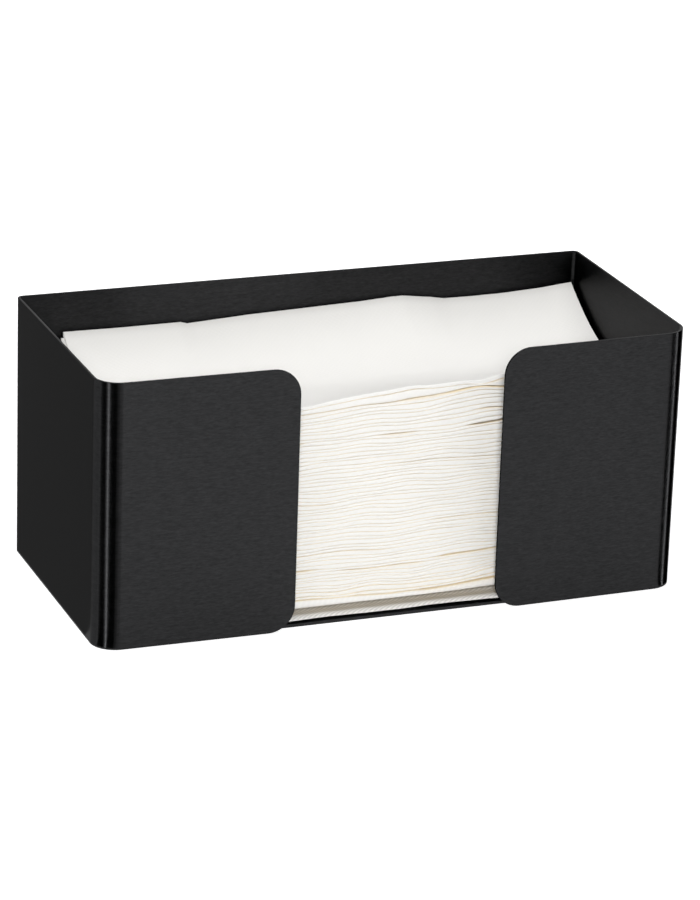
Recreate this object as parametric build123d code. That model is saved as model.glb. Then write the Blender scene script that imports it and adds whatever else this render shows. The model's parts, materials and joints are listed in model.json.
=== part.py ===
"""Counter-top dispenser for folded paper towels: an open sheet-metal box with a wide front gap.

A bent band of sheet makes both front flaps, both sides and the back, a flat plate closes the
bottom, and a stack of folded towels stands inside, its upper towels leaning on the back wall.
Origin at the middle of the underside, +X to the right seen from the front, front face to -Y.
Millimetres throughout.
"""

import os
from math import cos, degrees, radians, sin

from build123d import *

# Box, measured over the outside of the sheet
WIDTH = 280.0
DEPTH = 129.4
HEIGHT = 124.4
SHEET = 1.2
FLOOR_SHEET = 1.5
FRONT_BEND = 11.5
BACK_BEND = 3.0
FLAP_FLAT = 80.5
FLAP_CORNER = 12.5
LEFT_FLARE = 0.6
RIGHT_FLARE = 1.3
FLOOR_SETBACK = 3.3

FRONT = -DEPTH / 2
BACK = DEPTH / 2

# Folded towel, as it lies in the box
TOWEL_LENGTH = 255.0
TOWEL_DEPTH = 103.0
STACK_CENTRE_X = 8.2
TOWEL_GAP = 0.1
TOWEL_STATIONS = 14
# Plan depth that the top towel loses because its back slopes up the wall
SLOPE_LOSS = 5.5

# Stack: how far its front face stands behind the front plane, at the bottom and at the top
STACK_SETBACK_LOW = 12.0
STACK_SETBACK_HIGH = 30.0
LEAN_POWER = 1.5
# Top surface of the stack at its middle: a shallow valley between the raised front folds and
# the backs of the towels, which ride up the back wall
VALLEY_DEPTH = 78.0
VALLEY_HEIGHT = 87.0
FRONT_LIFT = 10.5
FRONT_LIFT_POWER = 1.6
BACK_LIFT = 22.0
BACK_LIFT_POWER = 1.65
WALL_DEPTH = 128.0
# Rise of the stack's top from its left end to its right end
STACK_RISE = 3.4

# Groups of towels from the bottom up, as heights of their top face at the front
BOTTOM_TOWEL_TOP = 4.6
LOWER_BUNDLE_TOP = 19.0
MAIN_BUNDLE_TOP = 77.5
LOWER_NODES = 3
MAIN_NODES = 6
TOWELS_IN_LOWER_NODE = 3
TOWELS_IN_MAIN_NODE = 6
LOOSE_TOWELS = 10
LOOSE_NAMES = {7: "third_towel", 8: "second_towel", 9: "top_towel"}
BOTTOM_LIP_REACH = 4.5
BOTTOM_LIP_THICK = 1.3
BOTTOM_CREST_SETBACK = 1.0

# How near two measures are to count as equal when edges are picked
NEAR = 0.01


def from_front(depth):
    """Y of a point that lies this far behind the front plane."""
    return FRONT + depth


def flap_points(side, flare, inset):
    """Side tangent point, bend mid point, flap tangent point and free end, on one face of the sheet."""
    centre = Vector(side * (WIDTH / 2 - FRONT_BEND), from_front(FRONT_BEND))
    radius = FRONT_BEND - inset
    half = radians(90 - flare) / 2
    normal = Vector(side * sin(radians(flare)), -cos(radians(flare)))
    along = Vector(-side * cos(radians(flare)), -sin(radians(flare)))
    side_tangent = centre + Vector(side * radius, 0)
    middle = centre + Vector(side * radius * cos(half), -radius * sin(half))
    flap_tangent = centre + normal * radius
    return side_tangent, middle, flap_tangent, flap_tangent + along * FLAP_FLAT


def back_arc(side, inset):
    """The bend between one side and the back, from the side to the back."""
    centre = Vector(side * (WIDTH / 2 - BACK_BEND), BACK - BACK_BEND)
    radius = BACK_BEND - inset
    slant = radius * cos(radians(45))
    start = centre + Vector(side * radius, 0)
    middle = centre + Vector(side * slant, slant)
    end = centre + Vector(0, radius)
    return start, middle, end


def band_edges(inset):
    """One face of the bent band in plan, from the left flap's free end round to the right's."""
    left = flap_points(-1, LEFT_FLARE, inset)
    right = flap_points(1, RIGHT_FLARE, inset)
    left_back = back_arc(-1, inset)
    right_back = back_arc(1, inset)
    return [
        Line(left[3], left[2]),
        ThreePointArc(left[2], left[1], left[0]),
        Line(left[0], left_back[0]),
        ThreePointArc(*left_back),
        Line(left_back[2], right_back[2]),
        ThreePointArc(right_back[2], right_back[1], right_back[0]),
        Line(right_back[0], right[0]),
        ThreePointArc(right[0], right[1], right[2]),
        Line(right[2], right[3]),
    ]


def make_body_shell():
    """Left flap, left side, back, right side and right flap, bent from one strip of sheet."""
    outer = band_edges(0)
    inner = band_edges(SHEET)
    left_end = Line(outer[0] @ 0, inner[0] @ 0)
    right_end = Line(outer[-1] @ 1, inner[-1] @ 1)
    plan = make_face([*outer, *inner, left_end, right_end])
    shell = extrude(plan, amount=HEIGHT)
    corners = [
        edge
        for edge in shell.edges()
        if abs(edge.length - SHEET) < NEAR
        and min(edge.center().Z, HEIGHT - edge.center().Z) < NEAR
        and edge.center().Y < from_front(SHEET)
    ]
    return fillet(corners, radius=FLAP_CORNER)


def make_floor_plate():
    """Flat bottom, welded inside the band, its front edge set back behind the flaps."""
    inner = band_edges(SHEET)
    closing = Line(inner[-1] @ 1, inner[0] @ 0)
    inside = extrude(make_face([*inner, closing]), amount=FLOOR_SHEET)
    keep = Pos(0, from_front(FLOOR_SETBACK), 0) * Box(
        2 * WIDTH, 2 * DEPTH, 2 * HEIGHT, align=(Align.CENTER, Align.MIN, Align.CENTER)
    )
    return inside & keep


def setback(share):
    """How far behind the front plane the stack's front face stands, this far up the stack."""
    return STACK_SETBACK_LOW + (STACK_SETBACK_HIGH - STACK_SETBACK_LOW) * share**LEAN_POWER


def top_height(depth):
    """Height of the stack's top surface at its middle, this far behind the front plane."""
    if depth < VALLEY_DEPTH:
        away = (VALLEY_DEPTH - depth) / (VALLEY_DEPTH - STACK_SETBACK_HIGH)
        return VALLEY_HEIGHT + FRONT_LIFT * away**FRONT_LIFT_POWER
    away = (depth - VALLEY_DEPTH) / (WALL_DEPTH - VALLEY_DEPTH)
    return VALLEY_HEIGHT + BACK_LIFT * away**BACK_LIFT_POWER


FRONT_TOP = top_height(STACK_SETBACK_HIGH)


def share_of(height):
    """Share of the stack that lies under this height at the front, from 0 on the floor to 1."""
    return (height - FLOOR_SHEET) / (FRONT_TOP - FLOOR_SHEET)


def level(share, depth):
    """Height of one layer of the stack at its middle, this far behind the front plane."""
    return FLOOR_SHEET + share * (top_height(depth) - FLOOR_SHEET)


def tilt(solid, share):
    """Turns a layer about its own middle so that its right end is higher, more so near the top."""
    angle = degrees(STACK_RISE * share / TOWEL_LENGTH)
    height = level(share, VALLEY_DEPTH)
    return Pos(STACK_CENTRE_X, 0, height) * Rot(0, -angle, 0) * Pos(0, 0, -height) * solid


def make_towel(low, high):
    """One folded towel between two shares of the stack, with a rounded fold at front and back."""
    near = setback((low + high) / 2)
    far = near + TOWEL_DEPTH - SLOPE_LOSS * (low + high) / 2
    half = (level(high, near) - level(low, near) - TOWEL_GAP) / 2
    span = far - near - 2 * half
    stations = [near + half + span * step / TOWEL_STATIONS for step in range(TOWEL_STATIONS + 1)]
    under = [Vector(0, from_front(depth), level(low, depth) + TOWEL_GAP / 2) for depth in stations]
    over = [Vector(0, from_front(depth), level(high, depth) - TOWEL_GAP / 2) for depth in stations]
    front_nose = (under[0] + over[0]) / 2 - Vector(0, half, 0)
    back_nose = (under[-1] + over[-1]) / 2 + Vector(0, half, 0)
    outline = [
        Spline(*under),
        ThreePointArc(under[-1], back_nose, over[-1]),
        Spline(*reversed(over)),
        ThreePointArc(over[0], front_nose, under[0]),
    ]
    towel = extrude(make_face(outline), amount=TOWEL_LENGTH / 2, dir=(1, 0, 0), both=True)
    return tilt(towel, (low + high) / 2)


def make_towels(bottom, top, count):
    """Several towels one on another, as separate solids, between two heights at the front."""
    low = share_of(bottom)
    step = (share_of(top) - low) / count
    towels = [make_towel(low + step * index, low + step * (index + 1)) for index in range(count)]
    return towels[0] if count == 1 else Compound(children=towels)


def make_bottom_towel():
    """The lowest towel, whose front lip hangs down and reaches forward over the floor plate."""
    near = setback(0)
    far = near + TOWEL_DEPTH
    top = level(share_of(BOTTOM_TOWEL_TOP), VALLEY_DEPTH) - TOWEL_GAP
    lip = near - BOTTOM_LIP_REACH
    low = FLOOR_SHEET + TOWEL_GAP / 2
    corners = [
        Vector(0, from_front(lip), low),
        Vector(0, from_front(lip), low + BOTTOM_LIP_THICK / 2),
        Vector(0, from_front(near + BOTTOM_CREST_SETBACK), top),
        Vector(0, from_front(far), top),
        Vector(0, from_front(far), low),
    ]
    outline = Polyline(*corners, close=True)
    return Pos(STACK_CENTRE_X, 0, 0) * extrude(
        make_face(outline), amount=TOWEL_LENGTH / 2, dir=(1, 0, 0), both=True
    )


def make_parts():
    """Every node of the dispenser by name."""
    parts = {
        "body_shell": make_body_shell(),
        "floor_plate": make_floor_plate(),
        "bottom_towel": make_bottom_towel(),
    }
    rise = (LOWER_BUNDLE_TOP - BOTTOM_TOWEL_TOP) / LOWER_NODES
    for index in range(LOWER_NODES):
        low = BOTTOM_TOWEL_TOP + rise * index
        parts[f"lower_towels_{index + 1}"] = make_towels(low, low + rise, TOWELS_IN_LOWER_NODE)
    rise = (MAIN_BUNDLE_TOP - LOWER_BUNDLE_TOP) / MAIN_NODES
    for index in range(MAIN_NODES):
        low = LOWER_BUNDLE_TOP + rise * index
        parts[f"main_towels_{index + 1}"] = make_towels(low, low + rise, TOWELS_IN_MAIN_NODE)
    rise = (FRONT_TOP - MAIN_BUNDLE_TOP) / LOOSE_TOWELS
    for index in range(LOOSE_TOWELS):
        low = MAIN_BUNDLE_TOP + rise * index
        name = LOOSE_NAMES.get(index, f"loose_towel_{index + 1}")
        parts[name] = make_towels(low, low + rise, 1)
    return parts


if __name__ == "__main__":
    os.makedirs("parts", exist_ok=True)
    for name, solid in make_parts().items():
        export_step(solid, f"parts/{name}.step")
        print(name, len(solid.solids()), round(solid.volume))
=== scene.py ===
"""Dresses a counter-top box of folded paper towels: bent black steel, a floor plate and the towels.

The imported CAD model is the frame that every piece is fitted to. Lengths in this file are in
millimetres unless a name says otherwise, and meshes are scaled to metres when they are laid.
"""

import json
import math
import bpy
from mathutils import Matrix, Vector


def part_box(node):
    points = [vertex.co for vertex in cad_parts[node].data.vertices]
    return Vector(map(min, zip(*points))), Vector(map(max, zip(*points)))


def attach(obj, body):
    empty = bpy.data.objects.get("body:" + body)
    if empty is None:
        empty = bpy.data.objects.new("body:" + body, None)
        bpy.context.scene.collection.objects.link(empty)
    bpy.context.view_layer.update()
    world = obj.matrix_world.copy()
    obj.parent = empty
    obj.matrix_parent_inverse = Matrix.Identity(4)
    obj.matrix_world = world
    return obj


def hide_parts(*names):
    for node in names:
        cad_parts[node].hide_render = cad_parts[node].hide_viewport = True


bl_info = {
    "name": "Folded Towel Box",
    "version": (1, 0, 0),
    "blender": (4, 5, 0),
    "location": "3D View > Sidebar > Towel Box",
    "description": "Builds a black steel towel box and the folded towels in it",
    "category": "Object",
}

import bmesh
import bpy
import numpy as np
from bpy.props import FloatProperty, FloatVectorProperty, PointerProperty
from mathutils import Matrix, Vector

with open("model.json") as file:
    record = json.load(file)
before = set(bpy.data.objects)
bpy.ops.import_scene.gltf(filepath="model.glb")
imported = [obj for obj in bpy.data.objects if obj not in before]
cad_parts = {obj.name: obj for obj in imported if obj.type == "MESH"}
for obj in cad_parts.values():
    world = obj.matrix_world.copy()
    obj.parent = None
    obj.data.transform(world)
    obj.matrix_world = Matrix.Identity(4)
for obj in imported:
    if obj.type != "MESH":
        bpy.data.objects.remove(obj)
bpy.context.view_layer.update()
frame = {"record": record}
BODIES = frame["record"]["behaviour"]["bodies"]

MM = 0.001

# Box, over the outside of its sheet, with Y counted from the middle as in the CAD
SHELL_LOW, SHELL_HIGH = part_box("body_shell")
FLOOR_LOW, FLOOR_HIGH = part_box("floor_plate")
WIDTH = (SHELL_HIGH.x - SHELL_LOW.x) / MM
HEIGHT = SHELL_HIGH.z / MM
BACK = SHELL_HIGH.y / MM
FRONT = -BACK
FLAP_FLAT = 80.5
LEFT_FLARE = math.radians(0.6)
RIGHT_FLARE = math.radians(1.3)

# Stack of towels, with depths counted back from the front plane
FLOOR_TOP = FLOOR_HIGH.z / MM
TOWEL_DEPTH = 103.0
SLOPE_LOSS = 5.5
SETBACK_LOW = 12.0
SETBACK_HIGH = 30.0
LEAN_POWER = 1.5
VALLEY_DEPTH = 78.0
VALLEY_HEIGHT = 87.0
FRONT_LIFT = 10.5
FRONT_LIFT_POWER = 1.6
BACK_LIFT = 22.0
BACK_LIFT_POWER = 1.65
WALL_DEPTH = 128.0
STACK_RISE = 3.4
STACK_TOP = VALLEY_HEIGHT + FRONT_LIFT
BUNDLES = (
    ("lower_towels", 3, 3, 4.6, 19.0),
    ("main_towels", 6, 6, 19.0, 77.5),
    ("loose_towel", 10, 1, 77.5, STACK_TOP),
)
LOOSE_NAMES = {7: "third_towel", 8: "second_towel", 9: "top_towel"}
# Front folds: how blunt they are, and how deep for each millimetre of half their height
NOSE_POWER = 2.1
NOSE_DEPTH = 0.34
# The lowest towels of the bundle bulge forward, and the first one curls back underneath
BULGE = (3.1, 1.5, 0.7, 0.3)
BULGE_DEPTH = 0.5
CURL_DEPTH = 1.5
TOUCH_GAP = 0.03

# How far the towels' front folds lie above an even stack, across the gap, at several heights
LIE_X = np.array([-119, -60, -43, -33, -21, -8, 8, 16, 26, 34, 43, 50, 60, 136], float)
LIE = (
    (4.6, (0.7, 0.6, 0.5, 0.6, 0.7, 0.9, 1.0, 1.0, 1.1, 1.1, 1.2, 1.2, 1.2, 0.9)),
    (6.2, (1.6, 2.5, 2.7, 2.6, 2.3, 2.0, 1.7, 1.7, 2.0, 2.3, 3.0, 3.8, 4.4, 2.2)),
    (19.0, (0.2, 0.7, 0.8, 0.8, 0.3, 0.0, 0.2, 0.4, 0.8, 1.2, 1.7, 2.0, 2.3, 1.0)),
    (64.0, (-0.3, -0.5, -0.5, -0.4, -0.2, 0.1, 0.4, 0.4, 0.1, -0.2, -0.6, -0.9, -1.3, -0.6)),
    (77.5, (0.2, 0.6, 0.8, 0.8, 0.5, 0.3, 0.8, 0.7, 0.2, 0.3, 0.9, 1.2, 2.0, 0.8)),
    (93.5, (-1.5, -2.8, -2.8, -2.5, -1.5, -0.7, -0.7, -0.2, 0.5, 1.3, 2.3, 2.9, 1.6, 0.8)),
    (95.5, (-1.4, -2.4, -2.4, -1.9, -0.4, 0.9, 2.1, 2.7, 2.2, 2.3, 2.5, 1.8, 3.6, 2.0)),
    (97.5, (-1.6, -3.0, -3.0, -2.4, -0.8, 0.4, 1.6, 2.3, 1.7, 1.9, 2.1, 1.5, 3.2, 2.0)),
)
# How far back the lie of the front folds is felt, and how much towels sway between those heights
LIE_REACH = 46.0
LONG_SWAY, SHORT_SWAY = 0.5, 0.3
# How far the back ends of the upper towels lie above an even stack, from and to these depths
BACK_LIE_DEPTHS = (92.0, 126.0)
BACK_LIE_X = np.array([-119, -91, -61.5, -59, -43, -27, 3, 28, 44, 49, 64, 70, 85, 100, 121, 136])
BACK_LIE = np.array(
    [0.0, -0.6, -0.8, -1.8, -1.1, -0.4, 0.2, 0.7, 1.5, 1.5, -0.6, -1.9, -2.2, -2.2, -1.4, -0.1]
)
# Places where the front folds stand apart: towel underneath, from, to, how wide, and how strong the
# painted warm light is that stands for the light coming through the fold there
OPENINGS = (
    (0, 12.0, 110.0, 0.4, 0.2),
    (8, -24.0, 22.0, 0.22, 0.3),
    (9, 23.0, 80.0, 0.5, 0.6),
    (9, -90.0, -31.0, 0.35, 0.5),
    (13, -60.0, 5.0, 0.12, 0.1),
    (19, 20.0, 70.0, 0.14, 0.2),
    (27, -70.0, -20.0, 0.12, 0.1),
    (36, 0.0, 60.0, 0.12, 0.1),
    (44, -90.0, -34.0, 0.3, 0.6),
    (44, -3.0, 20.0, 0.25, 0.4),
    (44, 40.0, 110.0, 0.6, 0.5),
    (46, 60.0, 110.0, 0.15, 0.3),
    (47, 45.0, 110.0, 0.2, 0.5),
    (52, -60.0, 110.0, 0.08, 0.15),
    (52, 8.0, 110.0, 0.06, 0.4),
    (52, 30.0, 110.0, 0.06, 0.4),
    (53, 46.0, 110.0, 0.1, 0.3),
)
TOWEL_COUNT = sum(nodes * per_node for _, nodes, per_node, _, _ in BUNDLES)
# Towels differ in thickness: how far each boundary between two is off its even height
UNEVEN = [0.28 * math.sin(index * 2.3) for index in range(TOWEL_COUNT)]


def smooth(low, high, value):
    """0 below low, 1 above high, and an S between them."""
    t = np.clip((value - low) / (high - low), 0, 1)
    return t * t * (3 - 2 * t)


def curve_through(xs, ys, x):
    """A smooth curve through points, read at x."""
    xs, ys = np.asarray(xs, float), np.asarray(ys, float)
    slope = np.gradient(ys, xs)
    i = np.clip(np.searchsorted(xs, x) - 1, 0, len(xs) - 2)
    span = xs[i + 1] - xs[i]
    t = np.clip((x - xs[i]) / span, 0, 1)
    keep = (1 + 2 * t) * (1 - t) ** 2 * ys[i] + t * t * (3 - 2 * t) * ys[i + 1]
    return keep + span * (t * (1 - t) ** 2 * slope[i] + t * t * (t - 1) * slope[i + 1])


def ripple(x, key, *lengths):
    """An even mix of sine waves of these lengths between about -1 and 1, shifted by the key."""
    total = np.zeros_like(np.asarray(x, float))
    for order, length in enumerate(lengths):
        phase = math.fmod(12.9898 * (key + 1) * (order + 1.37), 2 * math.pi)
        stretch = 1 + 0.13 * math.sin(key * 2.3 + order)
        total += np.sin(2 * math.pi * x / (length * stretch) + phase)
    return total / len(lengths)


def share_of(height):
    """Share of the stack under this height at the front, from 0 on the floor to 1."""
    return (height - FLOOR_TOP) / (STACK_TOP - FLOOR_TOP)


def setback(share):
    """How far behind the front plane the front folds stand."""
    return SETBACK_LOW + (SETBACK_HIGH - SETBACK_LOW) * share**LEAN_POWER


def even_height(share, depth):
    """Height of a layer of an even stack."""
    fore = np.clip((VALLEY_DEPTH - depth) / (VALLEY_DEPTH - SETBACK_HIGH), 0, None)
    aft = np.clip((depth - VALLEY_DEPTH) / (WALL_DEPTH - VALLEY_DEPTH), 0, None)
    top = VALLEY_HEIGHT + FRONT_LIFT * fore**FRONT_LIFT_POWER + BACK_LIFT * aft**BACK_LIFT_POWER
    return FLOOR_TOP + share * (top - FLOOR_TOP)


def lie_at(share, x):
    """How far the front folds lie above an even stack, at this share of its height."""
    shares = [share_of(height) for height, _ in LIE]
    rows = [curve_through(LIE_X, row, x) for _, row in LIE]
    i = int(np.clip(np.searchsorted(shares, share) - 1, 0, len(shares) - 2))
    t = float(np.clip((share - shares[i]) / (shares[i + 1] - shares[i]), 0, 1))
    long_wave = np.sin(2 * math.pi * x / 53 + 4.2 * math.sin(5.3 * share))
    short_wave = np.sin(2 * math.pi * x / 31 + 3.1 * math.sin(8.7 * share + 1))
    between = min(1, 6 * t * (1 - t))
    sway = (LONG_SWAY * long_wave + SHORT_SWAY * short_wave) * between
    return rows[i] * (1 - t) + rows[i + 1] * t + sway


def layer_height(share, x, depth):
    """Height of a layer of the real stack at each place."""
    tilt = STACK_RISE * share * (x - stack_centre()) / towels().length
    fore = 1 - smooth(0, LIE_REACH, depth - setback(share))
    aft = smooth(*BACK_LIE_DEPTHS, depth)
    back = np.interp(x, BACK_LIE_X, BACK_LIE) * share**3 * aft
    return even_height(share, depth) + tilt + lie_at(share, x) * fore + back


def stack_centre():
    """X of the stack's middle, which stands nearer to the right wall."""
    low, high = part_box("main_towels_3")
    return (low.x + high.x) / 2 / MM


def towels():
    return bpy.context.scene.towel_settings


def steel():
    return bpy.context.scene.steel_settings


def studio():
    return bpy.context.scene.studio_settings


# Modelling helpers


def only(obj):
    """Selects this object alone and makes it active."""
    bpy.ops.object.select_all(action="DESELECT")
    obj.select_set(True)
    bpy.context.view_layer.objects.active = obj


def add(kind, name, location=(0, 0, 0), rotation=(0, 0, 0), scale=(1, 1, 1), **settings):
    """A primitive at its place and size, in millimetres, with its transform applied."""
    bpy.ops.object.select_all(action="DESELECT")
    getattr(bpy.ops.mesh, f"primitive_{kind}_add")(**settings)
    obj = bpy.context.object
    obj.name = obj.data.name = name
    obj.location = Vector(location) * MM
    obj.rotation_euler = rotation
    obj.scale = Vector(scale) * MM
    bpy.ops.object.transform_apply(location=True, rotation=True, scale=True)
    return obj


class Editing:
    """Edit mode on one object, with picking of its vertices, edges or faces by a test."""

    def __init__(self, obj):
        self.obj = obj

    def __enter__(self):
        only(self.obj)
        bpy.ops.object.mode_set(mode="EDIT")
        bpy.ops.mesh.select_all(action="DESELECT")
        return self

    def __exit__(self, *problem):
        bpy.ops.object.mode_set(mode="OBJECT")

    def pick(self, kind, test):
        """Selects what passes the test, which gets vertex, edge middle or face middle in mm."""
        bpy.ops.mesh.select_all(action="DESELECT")
        bpy.ops.mesh.select_mode(type=kind)
        mesh = bmesh.from_edit_mesh(self.obj.data)
        if kind == "VERT":
            found = [v for v in mesh.verts if test(v.co / MM, None)]
        elif kind == "EDGE":
            found = [
                e
                for e in mesh.edges
                if test((e.verts[0].co + e.verts[1].co) / 2 / MM, e.verts[0].co - e.verts[1].co)
            ]
        else:
            found = [f for f in mesh.faces if test(f.calc_center_median() / MM, f.normal)]
        if not found:
            raise RuntimeError(f"nothing to pick on {self.obj.name}")
        for item in found:
            item.select_set(True)
        mesh.select_flush_mode()
        bmesh.update_edit_mesh(self.obj.data)


def modifier(obj, kind, **settings):
    """Adds a modifier and applies it."""
    only(obj)
    bpy.ops.object.modifier_add(type=kind)
    made = obj.modifiers[-1]
    for key, value in settings.items():
        setattr(made, key, value)
    bpy.ops.object.modifier_apply(modifier=made.name)


def finish_piece(obj, material, body, nodes, angle=35, even=False):
    """Smooths a piece, gives it its material and body, and hides the CAD parts that it stands for.
    """
    only(obj)
    bpy.ops.object.shade_smooth_by_angle(angle=math.radians(angle))
    if even:
        modifier(obj, "WEIGHTED_NORMAL", keep_sharp=True, weight=100)
    obj.data.materials.clear()
    obj.data.materials.append(material)
    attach(obj, body)
    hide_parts(*nodes)


def body_of_node(node):
    return next(body for body, nodes in BODIES.items() if node in nodes)


# Materials


class Value:
    """A socket in a material, on which arithmetic adds Math nodes."""

    def __init__(self, shader, socket):
        self.shader = shader
        self.socket = socket

    def maths(self, operation, *values):
        inputs = dict(enumerate(values))
        return self.shader.node("ShaderNodeMath", {"operation": operation}, inputs)

    def __add__(self, other):
        return self.maths("ADD", self, other)

    def __sub__(self, other):
        return self.maths("SUBTRACT", self, other)

    def __rsub__(self, other):
        return self.maths("SUBTRACT", other, self)

    def __mul__(self, other):
        return self.maths("MULTIPLY", self, other)

    __radd__ = __add__

    def sine(self):
        return self.maths("SINE", self)

    def ramp(self, low, high):
        """0 below low, 1 above high, and an S between them."""
        settings = {"interpolation_type": "SMOOTHSTEP"}
        inputs = {"Value": self, "From Min": low, "From Max": high}
        return self.shader.node("ShaderNodeMapRange", settings, inputs)


class Shader:
    """A node material that is written as expressions."""

    def __init__(self, name):
        self.material = bpy.data.materials.new(name)
        self.material.use_nodes = True
        self.tree = self.material.node_tree
        self.tree.nodes.clear()

    def node(self, kind, settings=None, inputs=None, output=0):
        """Adds a node, sets it up, then fills or links its sockets."""
        made = self.tree.nodes.new(kind)
        for key, value in (settings or {}).items():
            setattr(made, key, value)
        for key, value in (inputs or {}).items():
            if isinstance(value, Value):
                self.tree.links.new(value.socket, made.inputs[key])
            else:
                made.inputs[key].default_value = value
        return Value(self, made.outputs[output]) if made.outputs else None

    def place(self):
        """Object coordinates, in metres."""
        return self.node("ShaderNodeTexCoord", output="Object")

    def painted(self, name):
        """A number that the mesh carries."""
        return self.node("ShaderNodeAttribute", {"attribute_name": name}, {}, "Fac")

    def stretched(self, vector, scale):
        return self.node("ShaderNodeMapping", {}, {"Vector": vector, "Scale": scale})

    def noise(self, vector, scale, detail=3.0, roughness=0.55):
        inputs = {"Vector": vector, "Scale": scale, "Detail": detail, "Roughness": roughness}
        return self.node("ShaderNodeTexNoise", {"noise_dimensions": "3D"}, inputs)

    def blend(self, mask, first, second):
        """First colour where the mask is 0, second where it is 1."""
        factor, colour_a, colour_b, result = 0, 6, 7, 2
        inputs = {factor: mask, colour_a: first, colour_b: second}
        return self.node("ShaderNodeMix", {"data_type": "RGBA"}, inputs, result)

    def tinted(self, colour, strength):
        """A colour times a number."""
        inputs = {0: colour, "Scale": strength}
        return self.node("ShaderNodeVectorMath", {"operation": "SCALE"}, inputs)

    def bump(self, height, distance, strength=1.0):
        inputs = {"Height": height, "Distance": distance, "Strength": strength}
        return self.node("ShaderNodeBump", {}, inputs)

    def finish(self, **inputs):
        """Ends the material in one Principled shader."""
        named = {key.replace("_", " "): value for key, value in inputs.items()}
        surface = self.node("ShaderNodeBsdfPrincipled", {}, named)
        self.node("ShaderNodeOutputMaterial", {}, {"Surface": surface})
        return self.material


def black_steel(name, grain):
    """Black satin steel, brushed along the sheet, with painted shade on the flaps' free cut edges;
    grain is how fine it is along X, Y and Z.
    """
    shader = Shader(name)
    place = shader.place()
    # Painted shade: faces marked at the flaps' free cut edges lose their metal and reflection and
    # are made five times darker, for the shade on those edge faces.
    shaded_cut_edge = shader.painted("shaded_cut_edge")
    fine_grain = tuple(2.5 * axis for axis in grain)
    strokes = shader.noise(shader.stretched(place, grain), 1.0, 3.0, 0.65)
    fine = shader.noise(shader.stretched(place, fine_grain), 1.0, 2.0, 0.6)
    clouds = shader.noise(place, 18.0, 2.0)
    brushing = strokes * 0.45 + fine * 0.55
    tone = 0.15 + brushing * 1.6 + clouds * 0.08
    return shader.finish(
        Base_Color=shader.tinted(tuple(steel().colour), tone * (1.0 - shaded_cut_edge * 0.8)),
        Metallic=1.0 - shaded_cut_edge,
        Roughness=steel().roughness + (brushing - 0.5) * 0.12,
        Specular_IOR_Level=0.0,
        Specular_Tint=(*[steel().glancing] * 3, 1.0),
        Anisotropic=0.97,
        Anisotropic_Rotation=0.25,
        Normal=shader.bump(brushing, 0.00002, 0.5),
    )


# Embossed dots in one metre of towel, along it and across it
DOTS_ALONG, DOTS_ACROSS = 378, 430


def towel_paper():
    """White embossed paper: painted warm shade deep in its folds, and more relief and painted shade
    in the emboss hollows where it lies bare.
    """
    shader = Shader("towel_paper")
    sheet = shader.node("ShaderNodeUVMap", {"uv_map": "sheet"})
    along = shader.node("ShaderNodeSeparateXYZ", {}, {0: sheet}, 0)
    across = shader.node("ShaderNodeSeparateXYZ", {}, {0: sheet}, 1)
    turn = 2 * math.pi
    waves_along, waves_across = along * (turn * DOTS_ALONG), across * (turn * DOTS_ACROSS)
    first = (waves_along + waves_across).sine()
    second = (waves_along - waves_across).sine()
    emboss = (first + second) * 0.25 + 0.5
    place = shader.place()
    fibres = shader.noise(place, 2600.0, 3.0, 0.7)
    clouds = shader.noise(place, 35.0, 2.0)
    # The mesh carries how much painted warm shade each place takes, and how strong its relief and
    # painted hollow shade are.
    tuck, bare = shader.painted("tuck"), shader.painted("bare")
    paper, cream = (*towels().colour, 1.0), (*towels().cream, 1.0)
    # Painted shade: the emboss hollows are made darker, a little everywhere and more where the
    # paper lies bare.
    painted_hollow_shade = (1.0 - second) * (0.004 + bare * 0.09)
    tone = 0.985 + clouds * 0.02 + fibres * 0.01 - painted_hollow_shade
    return shader.finish(
        Base_Color=shader.tinted(shader.blend(tuck, paper, cream), tone),
        Roughness=0.92,
        Specular_IOR_Level=0.2,
        Normal=shader.bump(emboss * (0.5 + bare) + fibres * 0.4, towels().emboss * MM, 0.7),
    )


# Sheet metal

# Rounding of the cut edges, and the angle in radians from which an edge counts as one
SHELL_EDGE_ROUNDING = 0.22
PLATE_EDGE_ROUNDING = 0.2
SHARP = 1.0


def round_edges(obj, radius):
    """Rounds the sharp edges a little, as sheared and ground sheet has them."""
    width = radius * MM
    modifier(obj, "BEVEL", width=width, segments=2, limit_method="ANGLE", angle_limit=SHARP)


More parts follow.
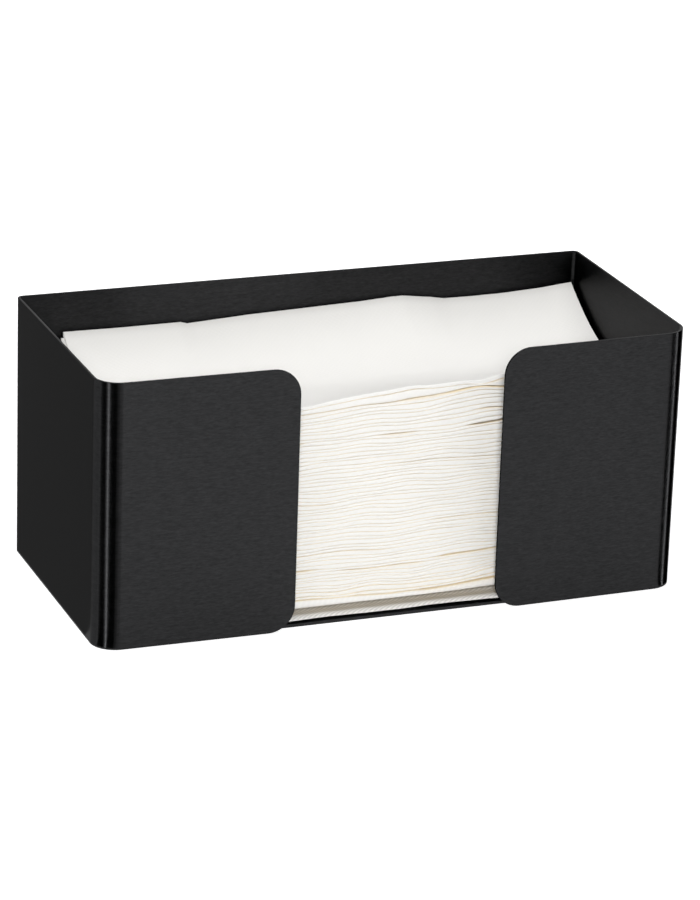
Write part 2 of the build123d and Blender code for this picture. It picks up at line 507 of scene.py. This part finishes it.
class TOWELBOX_OT_body_shell(bpy.types.Operator):
    """Bends one strip of sheet into the two front flaps, both sides and the back"""

    bl_idname = "towelbox.body_shell"
    bl_label = "Body Shell"

    def execute(self, context):
        half = WIDTH / 2
        shell = add(
            "plane",
            "bent_shell",
            location=(0, BACK, HEIGHT / 2),
            rotation=(-math.pi / 2, 0, 0),
            scale=(WIDTH, HEIGHT, 1),
            size=1,
        )
        settings = steel()
        reach = {}
        for side, flare in ((-1, LEFT_FLARE), (1, RIGHT_FLARE)):
            tangent = settings.front_bend * math.tan((math.pi / 2 - flare) / 2)
            meet = FRONT + settings.front_bend * (1 - math.cos(flare))
            meet += math.tan(flare) * (settings.front_bend * (1 - math.sin(flare)))
            reach[side] = (tangent, meet, flare, FLAP_FLAT + tangent)
        with Editing(shell) as edit:
            for side, (_, meet, flare, length) in reach.items():
                edit.pick("EDGE", lambda at, _: at.x * side > half - 0.1)
                run = (0, (meet - BACK) * MM, 0)
                bpy.ops.mesh.extrude_region_move(TRANSFORM_OT_translate={"value": run})
                inward, forward = length * math.cos(flare), length * math.sin(flare)
                run = (-side * inward * MM, -forward * MM, 0)
                bpy.ops.mesh.extrude_region_move(TRANSFORM_OT_translate={"value": run})
            edit.pick("VERT", lambda at, _: at.y < 0 and abs(at.x) < half / 2)
            bpy.ops.mesh.bevel(
                offset=settings.flap_corner * MM, segments=14, profile=0.5, affect="VERTICES"
            )
            for side, (tangent, _, _, _) in reach.items():
                edit.pick(
                    "EDGE",
                    lambda at, run: at.y < 0 and at.x * side > half - 1 and abs(run.z) > 0.1,
                )
                bpy.ops.mesh.bevel(offset=tangent * MM, segments=16, profile=0.5, affect="EDGES")
            edit.pick(
                "EDGE",
                lambda at, run: at.y > BACK - 1 and abs(at.x) > half - 1 and abs(run.z) > 0.1,
            )
            bpy.ops.mesh.bevel(
                offset=settings.back_bend * MM, segments=8, profile=0.5, affect="EDGES"
            )
            bpy.ops.mesh.select_all(action="SELECT")
            bpy.ops.mesh.normals_make_consistent(inside=False)
            edit.pick("FACE", lambda at, normal: at.y > BACK - 0.1 and abs(at.x) < half / 2)
            faces = bmesh.from_edit_mesh(shell.data).faces
            inside_out = next(face.normal.y for face in faces if face.select) < 0
            bpy.ops.mesh.select_all(action="SELECT")
            if inside_out:
                bpy.ops.mesh.flip_normals()
        thick = settings.sheet * MM
        modifier(shell, "SOLIDIFY", thickness=thick, offset=-1.0, use_even_offset=True)
        round_edges(shell, SHELL_EDGE_ROUNDING)
        # Marks the flaps' free edge faces for painted shade in the steel.
        shaded_cut_edge = shell.data.attributes.new("shaded_cut_edge", "FLOAT", "FACE")
        for face in shell.data.polygons:
            free_end = abs(face.center.x) < half / 2 * MM and face.center.y < 0
            shaded_cut_edge.data[face.index].value = float(free_end and abs(face.normal.x) > 0.5)
        material = black_steel("black_steel_walls", (170.0, 170.0, 850.0))
        finish_piece(shell, material, "root", ["body_shell"], angle=32, even=True)
        return {"FINISHED"}


class TOWELBOX_OT_floor_plate(bpy.types.Operator):
    """Cuts the flat bottom to the inside of the bends"""

    bl_idname = "towelbox.floor_plate"
    bl_label = "Floor Plate"

    def execute(self, context):
        settings = steel()
        inner = WIDTH / 2 - settings.sheet
        back = BACK - settings.sheet
        front = -back
        plate = add(
            "cube",
            "bottom_plate",
            location=(0, (front + back) / 2, FLOOR_TOP / 2),
            scale=(2 * inner, back - front, FLOOR_TOP),
            size=1,
        )
        with Editing(plate) as edit:
            for where, bend in ((-1, settings.front_bend), (1, settings.back_bend)):
                edit.pick(
                    "EDGE",
                    lambda at, run: at.y * where > back - 1
                    and abs(at.x) > inner - 1
                    and abs(run.z) > 0.001,
                )
                bpy.ops.mesh.bevel(
                    offset=(bend - settings.sheet) * MM, segments=12, profile=0.5, affect="EDGES"
                )
            bpy.ops.mesh.select_all(action="SELECT")
            bpy.ops.mesh.bisect(
                plane_co=(0, FLOOR_LOW.y, 0),
                plane_no=(0, -1, 0),
                use_fill=True,
                clear_outer=True,
            )
        round_edges(plate, PLATE_EDGE_ROUNDING)
        material = black_steel("black_steel_floor", (170.0, 850.0, 850.0))
        finish_piece(plate, material, "root", ["floor_plate"], angle=32, even=True)
        return {"FINISHED"}


# Towels

# Height of the inner layers, as a share of half the towel's thickness
INNER_LAYER = 0.33
# How far behind the front fold the inner layers start, and how deep the back folds are
INNER_RETREAT = 5.0
BACK_FOLD_DEPTH = 0.25
BACK_RETREAT = 0.6
# Paper taken up by each step of the path, beside its run to the front or back
FOLD_STEP = 0.25
# How much towels differ in where they lie: to the side, at the lip and at the back
SIDE_SHIFT, TOP_SIDE_SHIFT = 0.55, 0.4
LIP_SHIFT, LIP_WAVE = 0.06, 0.08
BACK_SHIFT = 0.4
BOUNDARY_WAVE = 0.25
# Depths behind the lip over which the towels close up on each other
CLOSING = (2.0, 14.0)
LEAST_HALF = 0.3
# Folds stand a little further apart at the right end
END_GAP = 0.05
# How much of the cream colour, a painted warm shade, a plain crease takes, and the depths at which
# it ends
CREASE_CREAM = 0.78
CREASE_END = (3.0, 9.0)
# Share of the bare paper's relief and painted hollow shade that shows on the curled front of the
# lowest folded towel
CURL_RELIEF_AND_SHADE = 0.12


def fold_path(panel_steps, nose_steps=9, back_steps=3):
    """A towel's folded section, from one free edge inside to the other, as a list of places.

    Each place is (along, height, nose, back): how far it lies from the front fold at 0 to the
    back folds at 1, its height from -1 to 1, and how far it lies round the front and back folds.
    """
    inner = INNER_LAYER
    middle, round_ = (1 + inner) / 2, (1 - inner) / 2
    flatness = 2 / NOSE_POWER
    panel = np.linspace(0, 1, panel_steps + 1)
    path = [(a, -inner, 0.0, 0.0) for a in panel]
    for turn in np.linspace(90, -90, back_steps + 2)[1:-1]:
        angle = math.radians(turn)
        path.append((1.0, -middle + round_ * math.sin(angle), 0.0, math.cos(angle)))
    path += [(a, -1.0, 0.0, 0.0) for a in panel[::-1]]
    for turn in np.linspace(-90, 90, nose_steps + 2)[1:-1]:
        up, out = math.sin(math.radians(turn)), math.cos(math.radians(turn))
        path.append((0.0, math.copysign(abs(up) ** flatness, up), out**flatness, 0.0))
    path += [(a, 1.0, 0.0, 0.0) for a in panel]
    for turn in np.linspace(90, -90, back_steps + 2)[1:-1]:
        angle = math.radians(turn)
        path.append((1.0, middle + round_ * math.sin(angle), 0.0, math.cos(angle)))
    path += [(a, inner, 0.0, 0.0) for a in panel[::-1]]
    return np.array(path)


def across_stations(count):
    """Places along a towel from its left end to its right, closer together in the front gap."""
    steps = np.linspace(0, 1, count)
    marks = np.array([0.0, 0.17, 0.83, 1.0])
    places = np.array([-0.5, -0.235, 0.225, 0.5])
    return np.interp(steps, marks, places)


def open_by(index, x):
    """How far the fold of this towel stands away from the one above it, and how much painted warm
    light it takes.
    """
    gap = END_GAP * smooth(42.0, 50.0, x)
    painted_through_light = np.zeros_like(x)
    for under, start, end, wide, glow in OPENINGS:
        if under == index:
            here = smooth(start, start + 8, x) * (1 - smooth(end - 8, end, x))
            gap += wide * here
            painted_through_light += glow * here
    return gap, painted_through_light


def boundary_wave(index, x):
    """How the touching faces of two towels wander up and down, under the towel of this index."""
    if index in (0, TOWEL_COUNT):
        return np.zeros_like(x)
    return UNEVEN[index] + BOUNDARY_WAVE * ripple(x, index, 61, 27)


def paint(mesh, **fields):
    """Gives the mesh one number at each point for every field."""
    for field, values in fields.items():
        attribute = mesh.attributes.new(field, "FLOAT", "POINT")
        attribute.data.foreach_set("value", values.astype(np.float32))


def spread_flat(mesh, x, length):
    """Sets the UV map to where each point lies on the unfolded towel, in metres."""
    corner = np.empty(len(mesh.loops), int)
    mesh.loops.foreach_get("vertex_index", corner)
    place = np.column_stack((x[corner], length[corner])) * MM
    mesh.uv_layers["sheet"].data.foreach_set("uv", place.ravel())
    mesh.update()


def grid_places(mesh, columns, rows):
    """Column and row of every point of a flat grid that is 1 by 1 in size."""
    flat = np.empty(len(mesh.vertices) * 3)
    mesh.vertices.foreach_get("co", flat)
    flat = flat.reshape(-1, 3) / MM
    column = np.rint((flat[:, 0] + 0.5) * (columns - 1)).astype(int)
    row = np.rint((flat[:, 1] + 0.5) * (rows - 1)).astype(int)
    return column, row


def lay_towel(template, name, index, low, high, top=False):
    """One folded towel: a copy of the flat template with its own mesh, folded and laid."""
    towel = template.copy()
    towel.data = template.data.copy()
    towel.name = towel.data.name = name
    bpy.context.collection.objects.link(towel)
    settings = towels()
    count = len(towel.data.vertices)
    path = np.array(template["path"]).reshape(-1, 4)
    column, row = grid_places(towel.data, template["columns"], len(path))
    along, layer, nose, back_fold = path[row].T
    stations = across_stations(template["columns"])[column]
    shift = SIDE_SHIFT * math.sin(index * 4.1) + (TOP_SIDE_SHIFT if top else 0.0)
    x = stack_centre() + stations * settings.length + shift

    share = (low + high) / 2
    lip = setback(low + (high - low) * (1 + layer) / 2) + LIP_SHIFT * math.sin(index * 2.7)
    lip = lip + LIP_WAVE * ripple(x, index, 71, 33)
    far = setback(share) + TOWEL_DEPTH - SLOPE_LOSS * share
    far = far + BACK_SHIFT * math.sin(index * 5.3) - BACK_RETREAT
    front_half = (layer_height(high, x, lip) - layer_height(low, x, lip)) / 2
    fold = front_half * NOSE_DEPTH * (0.7 + 0.5 * ripple(x, index + 5, 83, 37))
    if index < len(BULGE):
        lip = lip - BULGE[index]
    if index == 0:
        nose = np.where(nose > 0, np.sqrt(1 - layer**2), 0)
        fold = front_half * np.where(layer < 0, CURL_DEPTH, BULGE_DEPTH)
    inside = np.where((np.abs(layer) < 0.5) & (nose == 0), INNER_RETREAT, 0.0)
    near = lip + fold + inside * (1 - along)
    depth = near + (far - BACK_FOLD_DEPTH - near) * along
    depth = depth - fold * nose + BACK_FOLD_DEPTH * back_fold

    loose = 1 - smooth(*CLOSING, depth - lip)
    under = layer_height(low, x, depth) + boundary_wave(index, x) * loose
    over = layer_height(high, x, depth) + boundary_wave(index + 1, x) * loose
    gap_over, painted_light_share = open_by(index, x)
    gap_under, _ = open_by(index - 1, x)
    over = over - gap_over * 0.5 * loose
    under = under + gap_under * 0.5 * loose
    half = (over - under) / 2 - settings.paper / 2 - TOUCH_GAP
    z = (over + under) / 2 + layer * np.maximum(half, LEAST_HALF)
    y = FRONT + depth
    folded = np.column_stack((x, y, z)) * MM
    towel.data.vertices.foreach_set("co", folded.ravel())

    # Painted warm shade: the cream colour is laid where a place lies deep behind the lip, for the
    # shade and warm light in the creases, and painted light through an opened fold is laid on the
    # upper part of its front face.
    warm_shade_share = smooth(0.3, 1.0, (depth - lip) / fold) * 0.7 + smooth(0.2, 1.5, depth - lip) * 0.3
    painted_through_light = painted_light_share * smooth(-0.5, 1.0, layer) * (nose > 0)
    cream = np.minimum(CREASE_CREAM + painted_light_share, 1)
    warm_shade_share = warm_shade_share * (1 - smooth(*CREASE_END, depth - lip)) * cream
    warm_shade_share = np.maximum(warm_shade_share, painted_through_light)
    warm_shade_share = warm_shade_share * (np.abs(stations) < 0.5)
    if top:
        warm_shade_share = warm_shade_share * (layer < 0.5)
    bare = np.full(count, CURL_RELIEF_AND_SHADE if index == 0 else 0.0)
    paint(towel.data, tuck=warm_shade_share, bare=bare)

    run = np.abs(np.diff(path[:, 0], prepend=path[0, 0])) * (far - setback(share))
    length = np.cumsum(run + FOLD_STEP)
    spread_flat(towel.data, x, length[row])
    modifier(towel, "SOLIDIFY", thickness=settings.paper * MM, offset=0.0)
    return towel


def flat_sheet(name, columns, panel_steps, nose_steps=8):
    """The flat grid that towels are folded from."""
    path = fold_path(panel_steps, nose_steps)
    sheet = add(
        "grid",
        name,
        x_subdivisions=columns - 1,
        y_subdivisions=len(path) - 1,
        size=1,
        calc_uvs=True,
    )
    sheet.data.uv_layers[0].name = "sheet"
    sheet["columns"] = columns
    sheet["path"] = path.ravel().tolist()
    expected = columns * len(path)
    if len(sheet.data.vertices) != expected:
        raise RuntimeError(f"the grid has {len(sheet.data.vertices)} points, not {expected}")
    return sheet


def joined(pieces, name):
    """Several objects as one."""
    only(pieces[0])
    for piece in pieces[1:]:
        piece.select_set(True)
    if len(pieces) > 1:
        bpy.ops.object.join()
    made = bpy.context.object
    made.name = made.data.name = name
    return made


class TOWELBOX_OT_towel_stack(bpy.types.Operator):
    """Folds every towel of the bundles from one flat sheet and lays them on each other"""

    bl_idname = "towelbox.towel_stack"
    bl_label = "Towel Stack"

    def execute(self, context):
        paper = towel_paper()
        plain = flat_sheet("flat_towel", 50, 9)
        fine = flat_sheet("flat_top_towel", 120, 26, 12)
        index = 0
        for prefix, nodes, per_node, bottom, top in BUNDLES:
            step = (share_of(top) - share_of(bottom)) / (nodes * per_node)
            low = share_of(bottom)
            for number in range(nodes):
                node = f"{prefix}_{number + 1}"
                if prefix == "loose_towel":
                    node = LOOSE_NAMES.get(number, node)
                pieces = []
                for _ in range(per_node):
                    last = node == "top_towel"
                    sheet = fine if last else plain
                    name = f"folded_{node}_{len(pieces) + 1}"
                    pieces.append(lay_towel(sheet, name, index, low, low + step, last))
                    low += step
                    index += 1
                piece = joined(pieces, f"folded_{node}")
                finish_piece(piece, paper, body_of_node(node), [node], angle=50)
        for sheet in (plain, fine):
            bpy.data.objects.remove(sheet)
        return {"FINISHED"}


# Section of the lowest towel from its free front edge, tucked back under, round to its back end:
# depth behind the front plane, and height over the floor plate
SLIPPED_SECTION = (
    (30.0, 0.08),
    (17.0, 0.08),
    (9.0, 0.3),
    (5.6, 0.85),
    (4.4, 1.15),
    (4.1, 1.3),
    (4.4, 1.45),
    (5.2, 1.64),
    (6.2, 1.68),
    (7.5, 1.6),
    (9.0, 1.43),
    (11.0, 1.12),
    (13.0, 0.74),
    (15.0, 0.42),
    (18.0, 0.4),
    (30.0, 2.1),
    (70.0, 2.1),
    (114.5, 2.1),
)
SLIPPED_COLUMNS = 90
SLIPPED_PAPER = 0.2
SLIPPED_SHIFT = -0.6
# Depth of its foremost line from left to right, and the depth that the section has there
SLIPPED_EDGE_X = np.array([-119, -60, -48, -33, -21, -3, 6, 13, 30, 41, 56, 136], float)
SLIPPED_EDGE = np.array([5.0, 4.0, 3.8, 4.6, 4.4, 4.1, 4.1, 4.6, 4.9, 4.6, 3.9, 4.6])
SLIPPED_FRONT = 4.1
SLIPPED_FRONT_ROW = 5


class TOWELBOX_OT_bottom_towel(bpy.types.Operator):
    """Lays the lowest towel, whose front edge slips down onto the floor plate"""

    bl_idname = "towelbox.bottom_towel"
    bl_label = "Bottom Towel"

    def execute(self, context):
        depths, heights = np.array(SLIPPED_SECTION).T
        sheet = add(
            "grid",
            "slipped_bottom_towel",
            x_subdivisions=SLIPPED_COLUMNS - 1,
            y_subdivisions=len(depths) - 1,
            size=1,
            calc_uvs=True,
        )
        mesh = sheet.data
        mesh.uv_layers[0].name = "sheet"
        column, row = grid_places(mesh, SLIPPED_COLUMNS, len(depths))
        station = across_stations(SLIPPED_COLUMNS)[column]
        x = stack_centre() + station * towels().length + SLIPPED_SHIFT
        slip = curve_through(SLIPPED_EDGE_X, SLIPPED_EDGE, x) - SLIPPED_FRONT
        weight = 1 - smooth(6.0, 14.0, depths[row])
        depth = depths[row] + slip * weight
        ruffle = 0.06 * ripple(x, 3, 23, 11) * weight * (row >= SLIPPED_FRONT_ROW)
        z = FLOOR_TOP + 0.1 + heights[row] + ruffle
        mesh.vertices.foreach_set("co", (np.column_stack((x, FRONT + depth, z)) * MM).ravel())
        # Painted shade: the band under the curl takes a little of the cream colour, rising from 4
        # to 14 mm deep and fading again from 18 to 24 mm.
        shaded = 0.15 * smooth(4.0, 14.0, depth) * (1 - smooth(18.0, 24.0, depth))
        paint(mesh, tuck=shaded, bare=np.ones(len(x)))
        runs = np.diff(depths, prepend=depths[0])
        rises = np.diff(heights, prepend=heights[0])
        spread_flat(mesh, x, np.cumsum(np.hypot(runs, rises))[row])
        modifier(sheet, "SOLIDIFY", thickness=SLIPPED_PAPER * MM, offset=0.0)
        paper = bpy.data.materials["towel_paper"]
        body = body_of_node("bottom_towel")
        finish_piece(sheet, paper, body, ["bottom_towel"], angle=60)
        return {"FINISHED"}


# Stage

# How bright the floor is to the camera and in reflections, before the lamps' own light on it
FLOOR_GLOW = 0.6
FLOOR_MIRROR_GLOW = 0.3
# Metres from the middle over which the floor fades to plain white, clear of the object's shadow
FLOOR_FADE = (0.25, 0.8)
# Cards beside the two front bends: side of the box, from and to in degrees from +X, and glow
CARDS = (
    (-1, 93, 124, 0.21),
    (-1, 124, 171, 0.72),
    (-1, 176, 205, 0.0),
    (-1, 211.5, 215.5, 6.2),
    (-1, 216.5, 252, 0.0),
    (-1, 252, 263, 0.3),
    (-1, 263, 276, 0.65),
    (1, -42, -16, 0.0),
    (1, -15, -11, 8.0),
    (1, -9, 36, 0.0),
)
CARD_LENGTH = 600.0
CARD_HEIGHT = {-1: 600.0, 1: 1400.0}
# Where the reflections in each bend seem to start from, half its radius behind its face
CARD_APEX = {-1: (-131.1, -59.1), 1: (129.6, -62.3)}


class TOWELBOX_OT_stage(bpy.types.Operator):
    """Sets the pale floor, the soft lights and the camera"""

    bl_idname = "towelbox.stage"
    bl_label = "Stage"

    def execute(self, context):
        scene = context.scene
        scene.view_settings.view_transform = "Standard"
        self.add_floor()
        self.add_world(scene)
        self.add_cards()
        self.add_lamps()
        self.add_camera(scene)
        return {"FINISHED"}

    def add_floor(self):
        floor = add("plane", "pale_floor", scale=(9000, 9000, 1), size=1)
        shader = Shader("pale_floor")
        path = [
            shader.node("ShaderNodeLightPath", output=name)
            for name in ("Is Camera Ray", "Is Glossy Ray", "Is Transmission Ray")
        ]
        length = {"operation": "LENGTH"}
        away = shader.node("ShaderNodeVectorMath", length, {0: shader.place()}, "Value")
        glow = FLOOR_GLOW + away.ramp(*FLOOR_FADE) * (1.0 - FLOOR_GLOW)
        seen = path[0] * glow + (path[1] + path[2]) * FLOOR_MIRROR_GLOW
        surface = shader.node(
            "ShaderNodeBsdfPrincipled",
            {},
            {"Base Color": (0.9, 0.9, 0.9, 1), "Roughness": 1.0, "Specular IOR Level": 0.0},
        )
        light = shader.node("ShaderNodeEmission", {}, {"Strength": seen})
        both = shader.node("ShaderNodeAddShader", {}, {0: surface, 1: light})
        shader.node("ShaderNodeOutputMaterial", {}, {"Surface": both})
        floor.data.materials.append(shader.material)

    def add_world(self, scene):
        world = bpy.data.worlds.new("soft_room")
        scene.world = world
        world.use_nodes = True
        tree = world.node_tree
        tree.nodes.clear()
        path = tree.nodes.new("ShaderNodeLightPath")
        seen = path.outputs["Is Camera Ray"]
        for name in ("Is Glossy Ray", "Is Transmission Ray"):
            total = tree.nodes.new("ShaderNodeMath")
            total.operation = "MAXIMUM"
            tree.links.new(seen, total.inputs[0])
            tree.links.new(path.outputs[name], total.inputs[1])
            seen = total.outputs[0]
        strength = tree.nodes.new("ShaderNodeMapRange")
        tree.links.new(seen, strength.inputs["Value"])
        strength.inputs["To Min"].default_value = studio().room_light
        strength.inputs["To Max"].default_value = 1.0
        background = tree.nodes.new("ShaderNodeBackground")
        tree.links.new(strength.outputs[0], background.inputs["Strength"])
        background.inputs["Color"].default_value = (1, 1, 1, 1)
        output = tree.nodes.new("ShaderNodeOutputWorld")
        tree.links.new(background.outputs[0], output.inputs["Surface"])

    def add_cards(self):
        """Black and bright wedges on the floor that only the steel's reflections show."""
        for side, start, end, glow in CARDS:
            middle, spread = math.radians((start + end) / 2), math.radians(end - start)
            # Radius of a round triangle primitive whose apex is this far from its far edge
            long_ = CARD_LENGTH / 1.5
            wide = 2 * CARD_LENGTH * math.tan(spread / 2) / math.sqrt(3)
            apex_x, apex_y = CARD_APEX[side]
            place = (apex_x + long_ * math.cos(middle), apex_y + long_ * math.sin(middle), 1)
            card = add(
                "circle",
                f"card_at_{start}",
                location=place,
                rotation=(0, 0, middle + math.pi / 2),
                scale=(wide, long_, 1),
                radius=1,
                vertices=3,
                fill_type="NGON",
            )
            end_x = apex_x + CARD_LENGTH * math.cos(middle)
            end_y = apex_y + CARD_LENGTH * math.sin(middle)
            with Editing(card) as edit:
                edit.pick("EDGE", lambda at, _: math.hypot(at.x - end_x, at.y - end_y) < 1)
                bpy.ops.mesh.extrude_region_move(
                    TRANSFORM_OT_translate={"value": (0, 0, CARD_HEIGHT[side] * MM)}
                )
            card.visible_camera = card.visible_diffuse = card.visible_shadow = False
            card.visible_transmission = False
            shader = Shader(card.name)
            light = shader.node("ShaderNodeEmission", {}, {"Strength": glow})
            shader.node("ShaderNodeOutputMaterial", {}, {"Surface": light})
            card.data.materials.append(shader.material)

    def add_lamps(self):
        lamps = (
            ("front_softbox", (-0.594, -1.631, 0.773), 0.25, studio().front_power),
            ("overhead_softbox", (0.0, 0.25, 1.7), 2.2, studio().overhead_power),
            ("rear_softbox", (-0.2, 1.1, 1.5), 1.0, studio().rear_power),
        )
        for name, place, size, power in lamps:
            bpy.ops.object.select_all(action="DESELECT")
            bpy.ops.object.light_add(type="AREA", location=place)
            lamp = bpy.context.object
            lamp.name = lamp.data.name = name
            lamp.data.size = size
            lamp.data.energy = power
            aim = Vector((0, 0, 0.06)) - Vector(place)
            lamp.rotation_euler = aim.to_track_quat("-Z", "Y").to_euler()
            lamp.visible_glossy = False

    def add_camera(self, scene):
        bpy.ops.object.camera_add()
        camera = bpy.context.object
        camera.name = camera.data.name = "photo_camera"
        settings = studio()
        yaw, pitch, roll = settings.turn, settings.tip, settings.roll
        ahead = Vector(
            (math.sin(yaw) * math.cos(pitch), math.cos(yaw) * math.cos(pitch), -math.sin(pitch))
        )
        right = Vector((math.cos(yaw), -math.sin(yaw), 0))
        above = right.cross(ahead)
        rolled_right = right * math.cos(roll) + above * math.sin(roll)
        rolled_up = above * math.cos(roll) - right * math.sin(roll)
        turn = Matrix((rolled_right, rolled_up, -ahead)).transposed().to_4x4()
        place = Vector(settings.aim) - ahead * settings.distance
        camera.matrix_world = Matrix.Translation(place) @ turn
        camera.data.lens = settings.lens
        camera.data.sensor_width = 36.0
        camera.data.clip_start = 0.05
        camera.data.clip_end = 50.0
        scene.camera = camera


# Settings and panel


class SteelSettings(bpy.types.PropertyGroup):
    """Sizes in millimetres and finish of the sheet metal."""

    sheet: FloatProperty(name="Sheet", description="Thickness of the bent sheet", default=1.2)
    front_bend: FloatProperty(
        name="Front Bend", description="Outer radius of the bends to the flaps", default=11.5
    )
    back_bend: FloatProperty(
        name="Back Bend", description="Outer radius of the bends to the back", default=3.0
    )
    flap_corner: FloatProperty(
        name="Flap Corner", description="Radius of the flaps' free corners", default=12.5
    )
    colour: FloatVectorProperty(
        name="Colour", description="Black of the coated steel", subtype="COLOR", size=3,
        default=(0.0327, 0.0329, 0.0342),
    )
    roughness: FloatProperty(
        name="Roughness", description="Mean roughness of the brushing", default=0.3,
        subtype="FACTOR",
    )
    glancing: FloatProperty(
        name="Glancing", description="Reflection at a glancing angle", default=0.62,
        subtype="FACTOR",
    )


class TowelSettings(bpy.types.PropertyGroup):
    """Sizes in millimetres and finish of the towels."""

    length: FloatProperty(name="Length", description="Length of a folded towel", default=255.0)
    paper: FloatProperty(name="Paper", description="Thickness of one layer", default=0.22)
    emboss: FloatProperty(name="Emboss", description="Height of the embossing", default=0.1)
    colour: FloatVectorProperty(
        name="Paper Colour", description="White of the open paper", subtype="COLOR", size=3,
        default=(0.9, 0.889, 0.862),
    )
    # Painted warm shade: the colour laid into the creases and under the curl, for their shade and
    # warm light.
    cream: FloatVectorProperty(
        name="Cream", description="Warm white inside the folds", subtype="COLOR", size=3,
        default=(0.86, 0.7, 0.44),
    )


class StudioSettings(bpy.types.PropertyGroup):
    """Camera and lights."""

    turn: FloatProperty(
        name="Turn", description="Camera's turn to the right", default=math.radians(21.365),
        subtype="ANGLE",
    )
    tip: FloatProperty(
        name="Tip", description="Camera's tip downwards", default=math.radians(19.986),
        subtype="ANGLE",
    )
    roll: FloatProperty(
        name="Roll", description="Camera's roll", default=math.radians(1.983), subtype="ANGLE"
    )
    distance: FloatProperty(
        name="Distance", description="From the point aimed at", default=1.83099, unit="LENGTH"
    )
    aim: FloatVectorProperty(
        name="Aim", description="Point aimed at", size=3, subtype="XYZ", unit="LENGTH",
        default=(0.001282, 0.0003, 0.058149),
    )
    lens: FloatProperty(name="Lens", description="Focal length in mm", default=158.86)
    room_light: FloatProperty(name="Room Light", description="Even light", default=0.08)
    front_power: FloatProperty(
        name="Front Power", description="Watts beside the camera", default=23.4
    )
    overhead_power: FloatProperty(name="Overhead Power", description="Watts overhead", default=19.3)
    rear_power: FloatProperty(name="Rear Power", description="Watts from behind", default=7.0)


class TOWELBOX_PT_panel(bpy.types.Panel):
    """Settings and steps of the towel box"""

    bl_label = "Towel Box"
    bl_idname = "TOWELBOX_PT_panel"
    bl_space_type = "VIEW_3D"
    bl_region_type = "UI"
    bl_category = "Towel Box"

    def draw(self, context):
        layout = self.layout
        for settings in (steel(), towels(), studio()):
            box = layout.box()
            for name in settings.__annotations__:
                box.prop(settings, name)
        for operator in OPERATORS:
            layout.operator(operator.bl_idname)


OPERATORS = (
    TOWELBOX_OT_stage,
    TOWELBOX_OT_body_shell,
    TOWELBOX_OT_floor_plate,
    TOWELBOX_OT_towel_stack,
    TOWELBOX_OT_bottom_towel,
)
CLASSES = (SteelSettings, TowelSettings, StudioSettings, *OPERATORS, TOWELBOX_PT_panel)


def register():
    for cls in CLASSES:
        bpy.utils.register_class(cls)
    bpy.types.Scene.steel_settings = PointerProperty(type=SteelSettings)
    bpy.types.Scene.towel_settings = PointerProperty(type=TowelSettings)
    bpy.types.Scene.studio_settings = PointerProperty(type=StudioSettings)


def unregister():
    del bpy.types.Scene.steel_settings
    del bpy.types.Scene.towel_settings
    del bpy.types.Scene.studio_settings
    for cls in reversed(CLASSES):
        bpy.utils.unregister_class(cls)


def main():
    register()
    bpy.ops.towelbox.stage()
    bpy.ops.towelbox.body_shell()
    bpy.ops.towelbox.floor_plate()
    bpy.ops.towelbox.towel_stack()
    bpy.ops.towelbox.bottom_towel()


if __name__ == "__main__":
    main()
